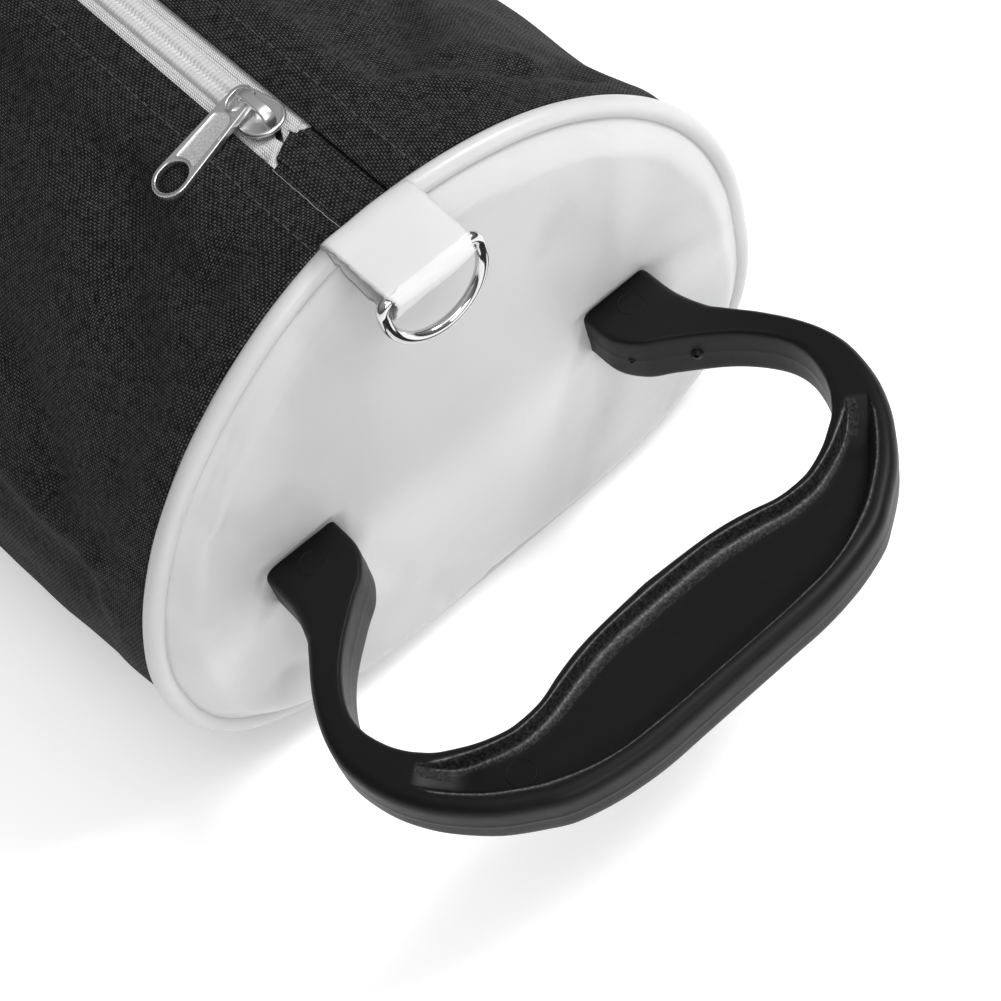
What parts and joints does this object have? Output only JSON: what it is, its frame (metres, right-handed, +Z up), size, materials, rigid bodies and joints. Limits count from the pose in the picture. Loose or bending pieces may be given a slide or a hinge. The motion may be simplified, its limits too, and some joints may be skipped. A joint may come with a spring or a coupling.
{
  "type": "golf shoe bag",
  "caption": "Soft black zip-up golf shoe bag with white piped end panels, a moulded stirrup handle on one end and a D-ring on a short tab.",
  "frame": {"origin": "centre of the whole object's footprint, on the surface that the back panel lies on", "axes": "+X out of the handle end along the bag's length, +Y across the bag, +Z up through the zip"},
  "size_m": [0.446, 0.1812, 0.1293],
  "materials": {
    "black_oxford": "coarse coated basket weave, matt",
    "white_vinyl": "satin coated vinyl cloth",
    "white_piping": "satin vinyl over a cord",
    "white_tape": "fine woven tape",
    "white_coil": "polyester coil",
    "black_plastic": "moulded, fine satin grain",
    "nickel": "nickel plated die casting",
    "bright_chrome": "bright plated wire",
    "zinc_steel": "zinc plated",
    "end_foam": "soft foam sheet",
    "hardboard": "smooth board",
    "black_binding": "folded binding tape"
  },
  "bodies": {
    "bag": {"body_panel_left": "black_oxford", "body_panel_right": "black_oxford", "back_panel": "black_oxford", "zipper_strip_front": "black_oxford", "zipper_strip_back": "black_oxford", "handle_end_panel": "white_vinyl", "far_end_panel": "white_vinyl", "dring_tab": "white_vinyl", "handle_end_piping": "white_piping", "far_end_piping": "white_piping", "zipper_tape_left": "white_tape", "zipper_tape_right": "white_tape", "zipper_coil_left": "white_coil", "zipper_coil_right": "white_coil", "handle": "black_plastic", "zipper_stop": "nickel", "handle_screws": "zinc_steel", "handle_washers": "zinc_steel", "handle_end_pad": "end_foam", "far_end_pad": "end_foam", "handle_end_board": "hardboard", "far_end_board": "hardboard", "handle_end_binding": "black_binding", "far_end_binding": "black_binding"},
    "slider": {"zipper_slider": "nickel"},
    "pull": {"zipper_pull": "nickel"},
    "ring": {"d_ring": "bright_chrome"}
  },
  "joints": [
    {"name": "zip_slide", "type": "slide", "parent": "bag", "child": "slider", "axis": [-1, 0, 0], "range_m": [0, 0.274]},
    {"name": "pull_swing", "type": "hinge", "parent": "slider", "child": "pull", "pos_m": [0.0937, 0, 0.1269], "axis": [0, -0.1908, 0.9816], "range_deg": [-97, 10]},
    {"name": "dring_swing", "type": "hinge", "parent": "bag", "child": "ring", "pos_m": [0.1525, -0.0016, 0.1236], "axis": [0, -1, 0], "range_deg": [-30, 165]}
  ]
}
